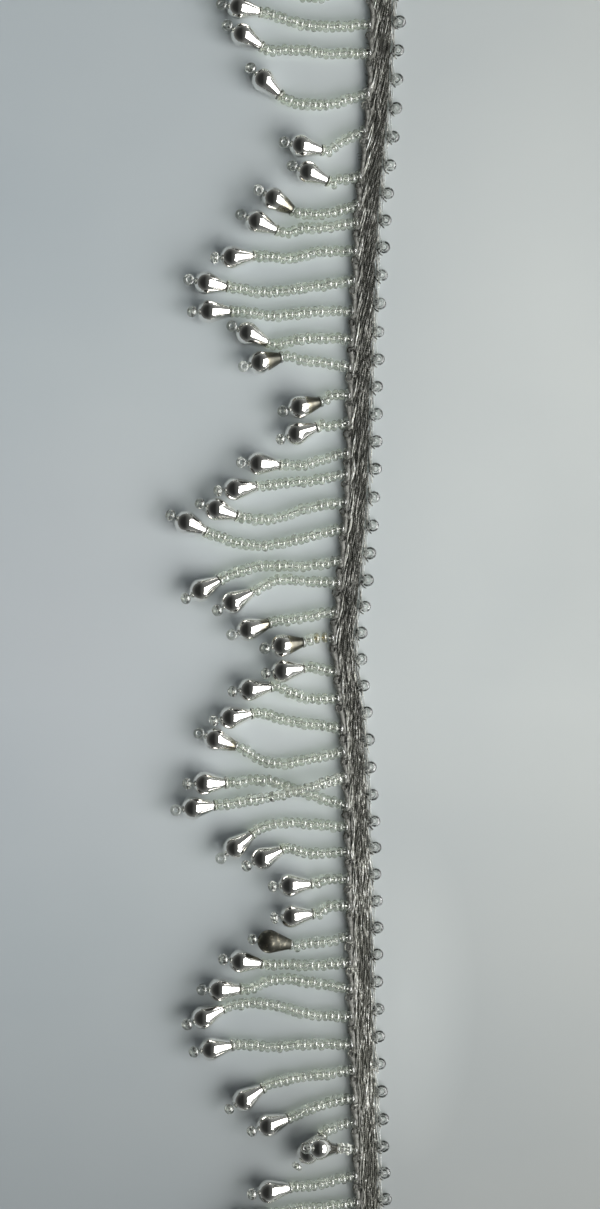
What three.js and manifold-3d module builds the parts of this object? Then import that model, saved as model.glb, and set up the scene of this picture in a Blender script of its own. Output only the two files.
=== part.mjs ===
// Beaded lace trim, a cut length that lies flat. A narrow metallic braid carries strings of glass seed beads
// on its left edge, each ending in a silvered drop, and single glass beads along its right edge.
// Millimetres, +Z up. +Y runs along the braid, the strings hang towards -X, and the origin is in the middle
// of the braid's flat back.

import * as THREE from "three";
import { mergeVertices } from "three/addons/utils/BufferGeometryUtils.js";
import Module from "manifold-3d";

// Clearance between neighbouring pieces, and how close two points of a mesh lie to count as one.
const CLEARANCE = 0.3;
const MERGE_DISTANCE = 1e-4;

const UP = new THREE.Vector3(0, 0, 1);
const LATHE_AXIS = new THREE.Vector3(0, 1, 0);

// The braid's section: its edges are measured from its middle line, and its back is flat.
const BRAID = { left: -2.5, right: 2.3, thickness: 1.0, ribs: 4, ribHeight: 0.45 };

// A rib stands this share of its height where its yarn dives under the next one.
const RIB_DIP = 0.3;

// Where the weave's repeats lie along the braid, from repeat 0 at its upper cut end to its lower end.
const STITCHES = [
  { repeat: 0, along: 160.0 },
  { repeat: 11, along: 82.5 },
  { repeat: 20, along: 19.9 },
  { repeat: 29, along: -40.6 },
  { repeat: 38, along: -100.8 },
  { repeat: 47, along: -161.7 },
];
const REPEATS = STITCHES.at(-1).repeat;

// How far the braid's middle line sways to the side as it lies.
const SWAY = [
  { along: -162, across: 5.6 },
  { along: -150, across: 5.2 },
  { along: -125, across: 4.4 },
  { along: -100, across: 3.5 },
  { along: -75, across: 3.1 },
  { along: -50, across: 2.4 },
  { along: -30, across: 1.3 },
  { along: -20, across: 0.2 },
  { along: -9, across: -0.9 },
  { along: 0, across: 0.0 },
  { along: 10, across: 0.9 },
  { along: 25, across: 2.2 },
  { along: 50, across: 3.0 },
  { along: 75, across: 4.1 },
  { along: 100, across: 5.3 },
  { along: 125, across: 7.6 },
  { along: 150, across: 8.7 },
  { along: 162, across: 9.1 },
];

// The looped left edge that the strings hang from, and the knots in it.
const LOOP_EDGE = { left: -4.2, right: BRAID.left - CLEARANCE, thickness: 1.2 };
const KNOT = { radius: 0.85, across: -3.7, height: 0.9, belowRoot: 2.5 };

// The clear thread along the right edge, and the glass beads that it ties there with their holes upright,
// each a little below the start of its repeat.
const EDGE_THREAD = { left: BRAID.right + CLEARANCE, width: 0.4, height: 0.8, sag: 0.15 };
const EDGE_BEAD = { across: 4.0, below: 0.3 };

// Seed bead, its thread, and the drop. The shoulder is where the drop's round end begins.
const SEED = { radius: 1.4, width: 1.4, sides: 8 };
const THREAD_WIDTH = 0.5;
const DROP = { neckRadius: 1.2, boreRadius: 0.72, radius: 2.9, shoulder: 5.6, length: 8.5, sides: 8 };
const DROP_CONE_END = { along: 4.9, radius: 2.8 };
const DROP_ROUND_TURN = THREE.MathUtils.degToRad(45);

// Strings start a little inside the looped edge, and their reach is measured from its outer side.
const STRING_START = LOOP_EDGE.left + 0.6;
const STRING_REACH_FROM = -3.9;
const STRING_STEP = 5;

// Distances from the drop's neck back along its string: where the string turns into line with the drop, where
// its beads stop, and where the bare thread comes out of them.
const NECK = { bend: 1.5, gap: 0.8, threadStart: 1.6 };

// The stop bead's turned rim comes nearer to the drop than its radius, so it stands off a little further.
const STOP_GAP = CLEARANCE + 0.05;

// One row for each string, in millimetres and degrees. root is its place along the braid and reach its spread
// to the drop's neck. near, far and neck are its height above the root a third of the way out, two thirds
// out and at the neck. heading is the drop's turn from straight out, and turn is how far its stop bead is
// tipped from lying flat.
const STRING_COLUMNS = ["root", "reach", "near", "far", "neck", "heading", "turn"];
const STRINGS = [
  [152.9, 21.0, -0.3, -1.5, 0.5, 30, 30],
  [144.8, 27.0, -0.7, 0.3, 3.0, 8, 20],
  [137.4, 26.4, 0.0, 1.0, 1.8, 29, 30],
  [127.4, 21.3, -2.3, -2.7, -0.4, 41, 40],
  [118.1, 10.0, -1.6, -3.8, -4.9, 10, 15],
  [106.9, 7.4, -0.7, -1.0, -1.3, 21, 30],
  [99.7, 15.7, -1.9, -2.4, -1.3, 29, 0],
  [95.2, 19.3, -1.1, -1.5, -1.9, 22, 30],
  [88.1, 24.8, -0.2, -1.7, -1.3, -4, 70],
  [80.8, 31.0, -1.6, -2.9, -1.6, 9, 0],
  [73.1, 29.8, -0.2, -1.0, 0.0, -2, 60],
  [66.3, 20.3, 0.1, -0.3, -0.9, 23, 10],
  [59.0, 16.7, 1.3, 1.8, 2.6, -15, 0],
  [52.2, 6.6, 0.1, -0.3, -1.7, -15, 40],
  [45.2, 7.2, -0.4, -0.7, -0.9, -20, 70],
  [37.9, 16.2, -1.7, -3.3, -3.1, 3, 0],
  [32.4, 21.9, -1.4, -2.0, -3.0, -7, 75],
  [25.6, 26.5, -1.5, -4.3, -3.5, 18, 50],
  [19.0, 33.7, -2.9, -4.3, -0.7, 24, 60],
  [10.8, 29.5, -1.3, -1.3, -4.7, -29, 60],
  [5.4, 21.1, 0.4, 0.8, -2.4, -28, 50],
  [-1.6, 16.1, -1.2, -2.2, -3.1, -17, 10],
  [-8.4, 6.9, 0.1, -0.2, -1.0, -9, 50],
  [-16.6, 7.3, 0.4, 0.9, 0.7, -7, 60],
  [-23.2, 16.3, -0.3, 0.9, 2.6, -6, 60],
  [-31.0, 21.9, 1.2, 2.3, 3.8, -10, 70],
  [-36.6, 26.4, -2.2, -3.0, 1.2, 21, 10],
  [-50.1, 29.4, 3.1, 6.3, 5.6, 0, 60],
  [-43.0, 31.9, -3.2, -5.5, -7.1, -6, 10],
  [-55.5, 23.1, 0.6, 1.0, -1.8, -37, 20],
  [-61.7, 15.8, -0.3, -0.2, 0.5, -23, 60],
  [-68.5, 8.7, 0.1, -0.2, -1.2, -2, 70],
  [-75.1, 8.4, 0.0, -0.9, -2.1, -4, 85],
  [-82.8, 14.1, -1.2, -1.6, -2.0, 10, 60],
  [-89.1, 21.4, -0.9, -0.7, -0.4, 8, 60],
  [-95.9, 26.7, 1.6, 2.3, 0.0, 1, 30],
  [-102.8, 31.3, 0.7, 3.2, 2.0, -22, 50],
  [-109.8, 29.2, 0.1, -0.5, -0.2, -7, 50],
  [-116.1, 21.9, -1.2, -2.1, -4.5, -30, 60],
  [-123.2, 15.7, -1.0, -2.7, -4.9, -17, 60],
  [-129.2, 7.5, -0.4, -1.6, -3.2, -49, 90],
  [-136.0, 4.4, 0.3, 0.6, 0.8, 12, 40],
  [-142.6, 15.9, -1.1, -2.4, -2.9, -6, 60],
  [-149.2, 21.0, -1.1, -1.5, -3.0, -20, 30],
  [-156.2, 26.0, -0.5, -1.0, -2.5, -12, 30],
].map((row) => Object.fromEntries(STRING_COLUMNS.map((name, column) => [name, row[column]])));

// String 28 climbs over string 27, and drop 41 rests on drop 40: how far each is lifted at the same three
// places, and the steeper tilt of the drop that rests on another.
const LYING = { near: 0, far: 0, neck: 0 };
const LIFTED = {
  28: { near: 3.3, far: 0.7, neck: 0 },
  41: { near: 0.7, far: 1.6, neck: 2.6, tilt: THREE.MathUtils.degToRad(41) },
};

const wasm = await Module();
wasm.setup();

// A smooth curve through a table's rows, read as a function of one of its columns.
function smoothTable(rows, key, value) {
  const keys = rows.map((row) => row[key]);
  const values = rows.map((row) => row[value]);
  const curve = new THREE.CubicInterpolant(keys, values, 1);
  return (at) => curve.evaluate(at)[0];
}

const sway = smoothTable(SWAY, "along", "across");
const stitch = smoothTable(STITCHES, "repeat", "along");

// Moves every point of a geometry as the rule says.
function movePoints(geometry, rule) {
  const position = geometry.getAttribute("position");
  const point = new THREE.Vector3();
  for (let index = 0; index < position.count; index += 1) {
    point.fromBufferAttribute(position, index);
    rule(point);
    position.setXYZ(index, point.x, point.y, point.z);
  }
  return geometry;
}

// Runs a section along the swaying braid, with a number of steps in each repeat of the weave.
// The section's x is measured across from the middle line and its y is the height.
function alongBraid(outline, stepsPerRepeat, relief = () => 1) {
  const geometry = new THREE.ExtrudeGeometry(new THREE.Shape(outline), {
    depth: REPEATS,
    steps: REPEATS * stepsPerRepeat,
    bevelEnabled: false,
  });
  return movePoints(geometry, (point) => {
    const along = stitch(point.z);
    const height = point.y * relief(point, point.z);
    point.set(sway(along) + point.x, along, height);
  });
}

function rectangle(left, right, bottom, top) {
  return [
    new THREE.Vector2(left, bottom),
    new THREE.Vector2(right, bottom),
    new THREE.Vector2(right, top),
    new THREE.Vector2(left, top),
  ];
}

function bareMesh(geometry) {
  const bare = geometry.clone();
  bare.deleteAttribute("normal");
  bare.deleteAttribute("uv");
  return mergeVertices(bare, MERGE_DISTANCE);
}

function toSolid(geometry) {
  const merged = bareMesh(geometry);
  return new wasm.Manifold(new wasm.Mesh({
    numProp: 3,
    vertProperties: new Float32Array(merged.getAttribute("position").array),
    triVerts: new Uint32Array(merged.index.array),
  }));
}

function fused(geometries) {
  const whole = geometries.map(toSolid).reduce((joined, next) => joined.add(next));
  const mesh = whole.getMesh();
  const geometry = new THREE.BufferGeometry();
  geometry.setAttribute("position", new THREE.BufferAttribute(mesh.vertProperties, 3));
  geometry.setIndex(new THREE.BufferAttribute(mesh.triVerts, 1));
  return geometry;
}

// The woven band: each rib is a rope of floats, high in the middle of a float and low where it dives under,
// with the floats of neighbouring ribs half a repeat apart.
function makeBraid() {
  const ribWidth = (BRAID.right - BRAID.left) / BRAID.ribs;
  const crest = BRAID.thickness + BRAID.ribHeight;
  const outline = rectangle(BRAID.left, BRAID.right, 0, BRAID.thickness).slice(0, 3);
  for (let rib = BRAID.ribs - 1; rib >= 0; rib -= 1) {
    const groove = BRAID.left + rib * ribWidth;
    outline.push(new THREE.Vector2(groove + ribWidth / 2, crest));
    outline.push(new THREE.Vector2(groove, BRAID.thickness));
  }
  const dipped = (BRAID.thickness + BRAID.ribHeight * RIB_DIP) / crest;
  return alongBraid(outline, 2, (point, repeat) => {
    if (point.y <= BRAID.thickness) return 1;
    const rib = Math.floor((point.x - BRAID.left) / ribWidth);
    const onFloat = (Math.round(2 * repeat) + rib) % 2 === 1;
    return onFloat ? 1 : dipped;
  });
}

// Where a string runs and where its drop points.
function layString(row, index) {
  const lift = LIFTED[index] ?? LYING;
  const startAcross = sway(row.root) + STRING_REACH_FROM;
  const place = (share, rise, raised) =>
    new THREE.Vector3(startAcross - row.reach * share, row.root + rise, SEED.radius + raised);
  const neck = place(1, row.neck, lift.neck);
  const tilt = lift.tilt ?? Math.asin((DROP.radius - SEED.radius) / DROP.shoulder);
  const heading = THREE.MathUtils.degToRad(row.heading);
  const direction = new THREE.Vector3(
    -Math.cos(tilt) * Math.cos(heading),
    Math.cos(tilt) * Math.sin(heading),
    Math.sin(tilt),
  );
  const approach = lift.tilt ? direction : new THREE.Vector3(direction.x, direction.y, 0).normalize();
  const path = new THREE.CatmullRomCurve3([
    new THREE.Vector3(sway(row.root) + STRING_START, row.root, SEED.radius),
    place(1 / 3, row.near, lift.near),
    place(2 / 3, row.far, lift.far),
    neck.clone().addScaledVector(approach, -NECK.bend),
    neck.clone().addScaledVector(approach, -NECK.gap),
  ]);
  return { path, neck, direction };
}

// A four-sided strand of the given width along a path. The section of a string that climbs twists a little,
// and its corners are kept from dipping under the table.
function strand(path, width, steps) {
  const half = width / 2;
  const section = new THREE.Shape(rectangle(-half, half, -half, half));
  const geometry = new THREE.ExtrudeGeometry(section, { steps, bevelEnabled: false, extrudePath: path });
  return movePoints(geometry, (point) => {
    point.z = Math.max(point.z, 0);
  });
}

// A seed bead as a plain disc, its hole along the axis given.
function seedDisc(centre, axis) {
  const disc = new THREE.CylinderGeometry(SEED.radius, SEED.radius, SEED.width, SEED.sides);
  disc.applyQuaternion(new THREE.Quaternion().setFromUnitVectors(LATHE_AXIS, axis));
  return disc.translate(centre.x, centre.y, centre.z);
}

// One string: its run of seed beads, the bare thread through the drop, and the stop bead that holds the drop.
function makeString(row, laid) {
  const { path, neck, direction } = laid;
  const beads = strand(path, 2 * SEED.radius, Math.max(2, Math.round(path.getLength() / STRING_STEP)));
  const stopCentre = neck.clone().addScaledVector(direction, DROP.length + STOP_GAP + SEED.radius);
  const threadStart = neck.clone().addScaledVector(direction, -NECK.threadStart);
  const thread = strand(new THREE.LineCurve3(threadStart, stopCentre), THREAD_WIDTH, 1);
  const turn = THREE.MathUtils.degToRad(row.turn);
  const sideways = new THREE.Vector3().crossVectors(direction, UP).normalize();
  const upright = new THREE.Vector3().crossVectors(sideways, direction);
  const axis = upright.multiplyScalar(Math.cos(turn)).addScaledVector(direction, Math.sin(turn));
  return [beads, thread, seedDisc(stopCentre, axis)];
}

function makeKnot(row) {
  const along = row.root - KNOT.belowRoot;
  const knot = new THREE.OctahedronGeometry(KNOT.radius, 0);
  return knot.translate(sway(along) + KNOT.across, along, KNOT.height);
}

// The looped edge with its knots and every string, fused at their roots.
function makeFringe(laidStrings) {
  const edge = alongBraid(rectangle(LOOP_EDGE.left, LOOP_EDGE.right, 0, LOOP_EDGE.thickness), 2);
  const strings = STRINGS.flatMap((row, index) => makeString(row, laidStrings[index]));
  return fused([edge, ...strings, ...STRINGS.map(makeKnot)]);
}

// The clear thread, which sags a little to the side between two beads, and a flat bead in every repeat.
function makeEdging() {
  const right = EDGE_THREAD.left + EDGE_THREAD.width;
  const thread = alongBraid(rectangle(EDGE_THREAD.left, right, 0, EDGE_THREAD.height), 2);
  movePoints(thread, (point) => {
    const nearBead = Math.abs(point.x - sway(point.y) - right) < CLEARANCE / 2;
    if (nearBead) point.x += EDGE_THREAD.sag;
  });
  const beads = [];
  for (let repeat = 1; repeat < REPEATS; repeat += 1) {
    const along = stitch(repeat) - EDGE_BEAD.below;
    const centre = new THREE.Vector3(sway(along) + EDGE_BEAD.across, along, SEED.width / 2);
    beads.push(seedDisc(centre, UP));
  }
  return fused([thread, ...beads]);
}

// The drop: a cone that swells from its neck into a round end, bored through for the thread.
function makeDrop() {
  const { neckRadius, boreRadius, radius, shoulder, length, sides } = DROP;
  const outline = [
    new THREE.Vector2(boreRadius, 0),
    new THREE.Vector2(neckRadius, 0),
    new THREE.Vector2(DROP_CONE_END.radius, DROP_CONE_END.along),
    new THREE.Vector2(radius, shoulder),
    new THREE.Vector2(
      radius * Math.cos(DROP_ROUND_TURN),
      shoulder + radius * Math.sin(DROP_ROUND_TURN),
    ),
    new THREE.Vector2(boreRadius, length),
    new THREE.Vector2(boreRadius, 0),
  ];
  return bareMesh(new THREE.LatheGeometry(outline, sides));
}

const finishes = {
  metallic: new THREE.MeshStandardMaterial({ color: 0x5c5b54, roughness: 0.45, metalness: 0.7 }),
  beads: new THREE.MeshStandardMaterial({ color: 0xb9c4ba, roughness: 0.12, metalness: 0 }),
  edging: new THREE.MeshStandardMaterial({ color: 0xc4cbc8, roughness: 0.12, metalness: 0 }),
  silver: new THREE.MeshStandardMaterial({ color: 0xd6d8d6, roughness: 0.08, metalness: 1 }),
};

function piece(name, geometry, material) {
  const mesh = new THREE.Mesh(geometry, material);
  mesh.name = name;
  return mesh;
}

const laidStrings = STRINGS.map(layString);
const trim = new THREE.Group();
trim.add(piece("braid", bareMesh(makeBraid()), finishes.metallic));
trim.add(piece("fringe", makeFringe(laidStrings), finishes.beads));
trim.add(piece("picot_edging", makeEdging(), finishes.edging));
laidStrings.forEach(({ neck, direction }, index) => {
  const drop = piece(`drop_${String(index).padStart(2, "0")}`, makeDrop(), finishes.silver);
  drop.position.copy(neck);
  drop.quaternion.setFromUnitVectors(LATHE_AXIS, direction);
  trim.add(drop);
});

export default trim;
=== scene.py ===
"""A cut length of beaded lace trim, dressed.

A metallic braid carries a fringe of glass seed beads and silvered drops on its left, and a bead edging on its
right. Metres, +Z up. +Y runs along the braid and the strings hang towards -X.
"""

import math
import random
from bisect import bisect_right

import bpy
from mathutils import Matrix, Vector


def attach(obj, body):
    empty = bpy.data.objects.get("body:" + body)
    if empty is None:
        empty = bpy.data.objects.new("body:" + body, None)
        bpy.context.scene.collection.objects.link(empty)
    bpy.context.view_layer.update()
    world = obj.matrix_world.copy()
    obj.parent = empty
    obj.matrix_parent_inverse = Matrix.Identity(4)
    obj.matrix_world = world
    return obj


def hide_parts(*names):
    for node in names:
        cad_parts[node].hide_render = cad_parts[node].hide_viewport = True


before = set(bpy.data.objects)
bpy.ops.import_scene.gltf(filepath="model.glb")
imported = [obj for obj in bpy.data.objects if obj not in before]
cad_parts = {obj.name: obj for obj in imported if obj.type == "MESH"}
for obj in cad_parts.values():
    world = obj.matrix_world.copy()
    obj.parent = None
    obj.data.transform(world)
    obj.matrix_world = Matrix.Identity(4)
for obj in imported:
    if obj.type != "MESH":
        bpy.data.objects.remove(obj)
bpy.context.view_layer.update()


# Woven ground
# The braid's body is dark pewter metallised yarn, woven into a flat band just under 5 mm wide with a slight
# crown. It lies with a gentle sway, and every other piece is sewn to it or floats over it.

# Each row: the number of a stitch repeat, and its place along the braid.
STITCHES = [(0, 0.1600), (11, 0.0825), (20, 0.0199), (29, -0.0406), (38, -0.1008), (47, -0.1617)]
REPEATS = STITCHES[-1][0]
# Each row: a place along the braid, and how far to the side its middle line lies there.
SWAY = [
    (-0.162, 0.0056), (-0.150, 0.0052), (-0.125, 0.0044), (-0.100, 0.0035), (-0.075, 0.0031),
    (-0.050, 0.0024), (-0.030, 0.0013), (-0.020, 0.0002), (-0.009, -0.0009), (0.0, 0.0),
    (0.010, 0.0009), (0.025, 0.0022), (0.050, 0.0030), (0.075, 0.0041), (0.100, 0.0053),
    (0.125, 0.0076), (0.150, 0.0087), (0.162, 0.0091),
]


def smooth_table(rows):
    """A smooth function through a table's rows. Its slope at a row is the mean of those on either side."""
    keys, values = zip(*rows)
    steps = [(v1 - v0) / (k1 - k0) for (k0, v0), (k1, v1) in zip(rows, rows[1:])]
    slopes = [steps[0], *((a + b) / 2 for a, b in zip(steps, steps[1:])), steps[-1]]

    def read(key):
        row = min(max(bisect_right(keys, key) - 1, 0), len(keys) - 2)
        width = keys[row + 1] - keys[row]
        p = (key - keys[row]) / width
        rise = 3 * p**2 - 2 * p**3
        bend = width * (slopes[row] * (p**3 - 2 * p**2 + p) + slopes[row + 1] * (p**3 - p**2))
        return values[row] + (values[row + 1] - values[row]) * rise + bend

    return read


stitch = smooth_table(STITCHES)
sway = smooth_table(SWAY)


def on_braid(across, repeat, height):
    """The point at a distance across the braid's middle line, at a repeat of its weave."""
    along = stitch(repeat)
    return Vector((sway(along) + across, along, height))


def new_piece(name, points, faces, attributes=()):
    """A smooth-shaded mesh object at the origin, with attributes given as (name, type, one value a point)."""
    mesh = bpy.data.meshes.new(name)
    mesh.from_pydata([tuple(point) for point in points], [], faces)
    for label, kind, values in attributes:
        attribute = mesh.attributes.new(label, kind, "POINT")
        field = "vector" if kind == "FLOAT_VECTOR" else "value"
        for item, value in zip(attribute.data, values):
            setattr(item, field, value)
    mesh.polygons.foreach_set("use_smooth", [True] * len(mesh.polygons))
    mesh.update()
    piece = bpy.data.objects.new(name, mesh)
    bpy.context.scene.collection.objects.link(piece)
    return piece


def swept_band(name, section, steps_per_repeat):
    """A closed band along the braid. section(repeat) gives its outline as points (across, height)."""
    points, lay = [], []
    steps = REPEATS * steps_per_repeat
    for step in range(steps + 1):
        repeat = step / steps_per_repeat
        for across, height in section(repeat):
            points.append(on_braid(across, repeat, height))
            lay.append((across, stitch(repeat), height))
    sides = len(section(0))
    faces = [tuple(range(sides))]
    faces.append(tuple(reversed(range(steps * sides, (steps + 1) * sides))))
    for step in range(steps):
        near, far = step * sides, (step + 1) * sides
        for side in range(sides):
            other = (side + 1) % sides
            faces.append((near + side, far + side, far + other, near + other))
    return new_piece(name, points, faces, [("lay", "FLOAT_VECTOR", lay)])


TURN = 2 * math.pi


class Wire:
    """A node's output. Python arithmetic on it adds the Math nodes that do the same."""

    def __init__(self, board, socket):
        self.board, self.socket = board, socket

    def math(self, operation, *values):
        return self.board.add("ShaderNodeMath", {"operation": operation}, dict(enumerate(values)))

    def wave(self, operation):
        return self.math(operation, self)

    def at_least(self, limit):
        return self.math("MAXIMUM", self, limit)

    def __add__(self, other):
        return self.math("ADD", self, other)

    def __sub__(self, other):
        return self.math("SUBTRACT", self, other)

    def __rsub__(self, other):
        return self.math("SUBTRACT", other, self)

    def __mul__(self, other):
        return self.math("MULTIPLY", self, other)

    def __truediv__(self, other):
        return self.math("DIVIDE", self, other)

    def __pow__(self, other):
        return self.math("POWER", self, other)

    __radd__, __rmul__ = __add__, __mul__


class Board:
    """A node tree with one way to add a node: its type, its settings, then its sockets' values or wires."""

    def __init__(self, tree):
        self.tree = tree

    def add(self, kind, settings=None, sockets=None, out=None):
        node = self.tree.nodes.new(kind)
        for name, value in (settings or {}).items():
            if name == "stops":
                self.set_stops(node.color_ramp, value)
            else:
                setattr(node, name, value)
        for key, value in (sockets or {}).items():
            self.fill(self.find(node.inputs, key), value)
        return Wire(self, self.find(node.outputs, out))

    def vector(self, operation, sockets, out=None):
        return self.add("ShaderNodeVectorMath", {"operation": operation}, sockets, out)

    def axis(self, vector, letter):
        return self.add("ShaderNodeSeparateXYZ", None, {0: vector}, letter)

    def blend(self, share, first, second):
        return self.add("ShaderNodeMix", {"data_type": "RGBA"}, {"Factor": share, "A": first, "B": second})

    def fill(self, socket, value):
        if isinstance(value, Wire):
            self.tree.links.new(value.socket, socket)
        else:
            socket.default_value = value

    @staticmethod
    def find(sockets, key):
        shown = [socket for socket in sockets if socket.enabled]
        if key is None:
            return shown[0] if shown else None
        return shown[key] if isinstance(key, int) else next(s for s in shown if s.name == key)

    @staticmethod
    def set_stops(ramp, stops):
        while len(ramp.elements) < len(stops):
            ramp.elements.new(1.0)
        for element, (place, shade) in zip(ramp.elements, stops):
            element.position = place
            element.color = (*shade, 1.0) if isinstance(shade, tuple) else (shade, shade, shade, 1.0)


class Finish(Board):
    """A material with one Principled shader: fixed looks are set on it, and what varies is wired to it."""

    def __init__(self, name, **looks):
        self.material = bpy.data.materials.new(name)
        self.material.use_nodes = True
        super().__init__(self.material.node_tree)
        self.shader = self.tree.nodes["Principled BSDF"]
        self.set(**looks)

    def set(self, **looks):
        for name, value in looks.items():
            self.fill(self.shader.inputs[name.replace("_", " ")], value)

    def place(self):
        return self.add("ShaderNodeTexCoord", out="Object")

    def read(self, name, out="Fac"):
        return self.add("ShaderNodeAttribute", {"attribute_name": name}, out=out)

    def noise(self, scale, where, detail=2.0, stretch=(1, 1, 1), turn=0.0):
        mapping = {"Vector": where, "Scale": stretch, "Rotation": (0, 0, turn)}
        sockets = {"Vector": self.add("ShaderNodeMapping", None, mapping), "Scale": scale, "Detail": detail}
        return self.add("ShaderNodeTexNoise", None, sockets, "Fac")

    def ramp(self, value, stops):
        return self.add("ShaderNodeValToRGB", {"stops": stops}, {"Fac": value}, "Color")

    def shaded(self, colour, by):
        """A colour times another colour or a number."""
        return self.vector("MULTIPLY", {0: colour, 1: by})

    def bump(self, height, distance, strength=1.0):
        sockets = {"Height": height, "Distance": distance, "Strength": strength}
        return self.add("ShaderNodeBump", None, sockets)

    def weave(self, lay, pick, end):
        """A pattern from 0 to 1 of threads that cross, at these pitches along and across a band."""
        picks = (self.axis(lay, "Y") * (TURN / pick)).wave("SINE")
        ends = (self.axis(lay, "X") * (TURN / end)).wave("SINE")
        return picks * ends * 0.5 + 0.5


# The ground's outline, each point as (across, height), and its weave.
GROUND_CROWN = [
    (-0.00225, 0.0), (-0.00225, 0.0006), (-0.0018, 0.00075), (-0.0006, 0.00092), (0.0006, 0.00092),
    (0.0014, 0.00080), (0.0018, 0.0006), (0.0018, 0.0),
]
GROUND = {"steps": 4, "pick": 0.00055, "end": 0.00077, "relief": 0.0002}
GROUND_SHADES = [(0.3, (0.062, 0.062, 0.052)), (0.75, (0.26, 0.26, 0.228))]

ground = swept_band("woven_ground", lambda repeat: GROUND_CROWN, GROUND["steps"])
ground_finish = Finish("ground_weave", Metallic=0.5)
ground_weave = ground_finish.weave(ground_finish.read("lay", "Vector"), GROUND["pick"], GROUND["end"])
speck = ground_finish.noise(2400.0, ground_finish.place(), 3.0)
ground_finish.set(
    Base_Color=ground_finish.ramp(ground_weave * 0.5 + speck * 0.5, GROUND_SHADES),
    Roughness=0.45 + speck * 0.3,
    Normal=ground_finish.bump(ground_weave, GROUND["relief"], 0.8),
)
ground.data.materials.append(ground_finish.material)
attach(ground, "root")
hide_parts("braid")


# Floats and stitches
# Two-ply metallised yarn over the ground. A doubled bright float a repeat leans out to the left edge, fine
# strokes and glints crowd the band, and pale strands lean to the beads. Both ends of each dip into the weave.

random.seed(7)
ROW_KEYS = [
    "piece", "shade", "across", "columns", "pitch", "start", "length", "lean", "crest", "ply",
    "per_repeat", "strands",
]
ROWS = [
    ("edge_strokes", "edge", -0.00300, 3, 0.00036, 0.25, 0.40, -0.00045, 0.00115, 0.00007, 2, 1),
    ("left_floats", "bright", -0.00125, 1, 0.0, 0.62, 0.98, -0.00160, 0.00150, 0.00009, 1, 2),
    ("left_strokes", "dark", -0.00190, 4, 0.00034, 0.15, 0.66, -0.00085, 0.00110, 0.00008, 2, 1),
    ("middle_strokes", "dark", -0.00054, 4, 0.00034, 0.35, 0.66, -0.00085, 0.00116, 0.00008, 2, 1),
    ("right_strokes", "dark", 0.00082, 4, 0.00034, 0.05, 0.66, -0.00075, 0.00110, 0.00008, 2, 1),
    ("fine_glints", "middling", -0.00190, 5, 0.00078, 0.45, 0.62, -0.00080, 0.00126, 0.00005, 1, 1),
    ("right_floats", "middling", 0.00195, 2, 0.00030, 0.14, 0.92, 0.00070, 0.00098, 0.00009, 1, 1),
]
# Down the braid, between these two repeats, the strokes straighten and fan out.
STRAIGHTER = {"from": 8, "to": 27, "shift": -0.00050, "splay": 0.00018, "link": 0.00022, "upright": 0.75}
STITCH = {
    "dip": 0.00060, "jitter": 0.00020, "sag": 0.0001, "stagger": 0.37, "shortest": 0.0015, "margin": 0.02,
    "lean": (0.7, 1.3), "length": (0.75, 1.25), "late": 0.08, "twist": 0.0026, "taper": 0.55, "step": 0.00028,
}


def jitter(amount):
    """A random number up to that amount on either side of nought."""
    return random.uniform(-amount, amount)


def guide_curve(name, runs):
    """A curve object with one smooth spline through each run's points."""
    curve = bpy.data.curves.new(name, "CURVE")
    curve.dimensions = "3D"
    for run in runs:
        spline = curve.splines.new("BEZIER")
        spline.bezier_points.add(len(run) - 1)
        for knot, place in zip(spline.bezier_points, run):
            knot.co = place
            knot.handle_left_type = knot.handle_right_type = "AUTO"
    guide = bpy.data.objects.new(name, curve)
    bpy.context.scene.collection.objects.link(guide)
    return guide


class Growth(Board):
    """A geometry node tree with named inputs, which grows a mesh on a guide."""

    def __init__(self, name, inputs):
        super().__init__(bpy.data.node_groups.new(name, "GeometryNodeTree"))
        sockets = self.tree.interface
        for label, kind in {"Geometry": "Geometry", **inputs}.items():
            sockets.new_socket(label, in_out="INPUT", socket_type="NodeSocket" + kind)
        sockets.new_socket("Geometry", in_out="OUTPUT", socket_type="NodeSocketGeometry")
        self.given = {label: self.add("NodeGroupInput", out=label) for label in ["Geometry", *inputs]}

    def resampled(self, length):
        """The guide's curves with a point at each step of that length."""
        sockets = {"Curve": self.given["Geometry"], "Length": length}
        return self.add("GeometryNodeResampleCurve", {"mode": "LENGTH"}, sockets)

    def chance(self, kind="FLOAT", **sockets):
        return self.add("FunctionNodeRandomValue", {"data_type": kind}, sockets)

    def scaled(self, vector, size):
        return self.vector("SCALE", {0: vector, "Scale": size})

    def marked(self, geometry, domain, name, value):
        """The geometry with a number on each curve, point or instance, which its material reads."""
        settings = {"data_type": "FLOAT", "domain": domain}
        sockets = {"Geometry": geometry, "Name": name, "Value": value}
        return self.add("GeometryNodeStoreNamedAttribute", settings, sockets)

    def end(self, geometry):
        """Ends the tree with real meshes in the given material."""
        solid = self.add("GeometryNodeRealizeInstances", None, {"Geometry": geometry})
        sockets = {"Geometry": solid, "Material": self.given["Material"]}
        done = self.add("GeometryNodeSetMaterial", None, sockets)
        self.add("NodeGroupOutput", None, {0: done})
        return self.tree


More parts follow.
